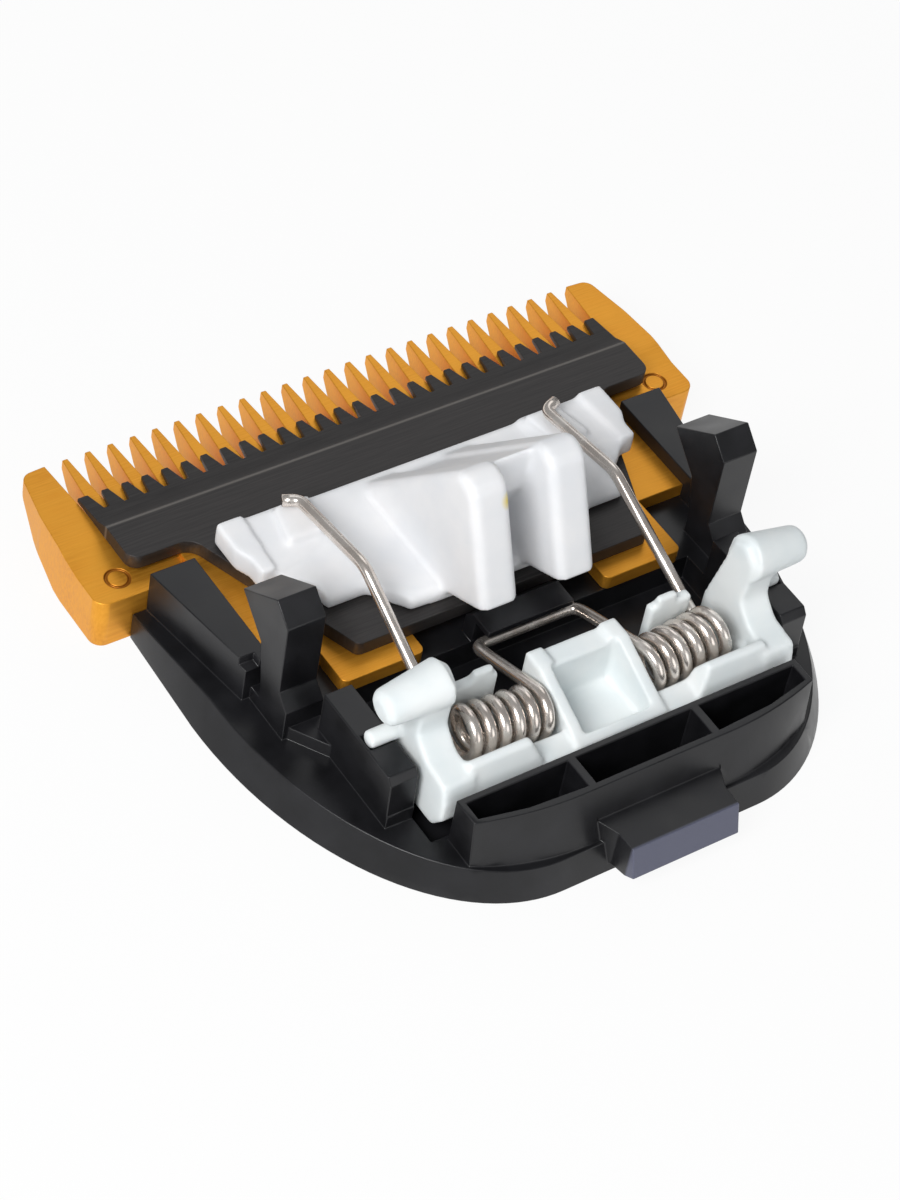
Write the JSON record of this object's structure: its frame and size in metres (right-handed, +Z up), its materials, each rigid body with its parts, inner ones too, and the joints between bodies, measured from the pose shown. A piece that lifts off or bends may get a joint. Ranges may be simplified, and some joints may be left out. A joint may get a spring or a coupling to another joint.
{
  "type": "hair clipper blade",
  "caption": "Hair clipper blade: gold toothed comb in a black tray, with a sliding black cutter, its white drive carrier, a double wire spring and a sprung cleaning lever.",
  "frame": {"origin": "centre of the outer face that the part lies on, midway between the comb's tips and the latch tab", "axes": "+X along the row of teeth, +Y from the latch tab towards the tooth tips, +Z up from the outer face to the lugs of the driver"},
  "size_m": [0.0468, 0.0438, 0.0159],
  "materials": {
    "black_plastic": "satin black moulding",
    "gold_steel": "gold hard coat over ground steel",
    "black_steel": "black hard coat over ground steel",
    "driver_plastic": "white moulding",
    "lever_plastic": "white moulding",
    "spring_wire": "bright drawn wire"
  },
  "bodies": {
    "base": {"frame": "black_plastic", "comb_blade": "gold_steel"},
    "lever_unit": {"lever": "lever_plastic", "spring": "spring_wire"},
    "cutter": {"moving_blade": "black_steel", "driver": "driver_plastic"}
  },
  "joints": [
    {"name": "lever_hinge", "type": "hinge", "parent": "base", "child": "lever_unit", "pos_m": [0, -0.0086, 0.0066], "axis": [1, 0, 0], "range_deg": [0, 4], "stiffness_Nm_per_rad": 0.02, "springref_deg": -11.46, "deforming": ["spring"]},
    {"name": "cutter_slide", "type": "slide", "parent": "lever_unit", "child": "cutter", "axis": [1, 0, 0], "range_m": [-0.001, 0.001]}
  ]
}
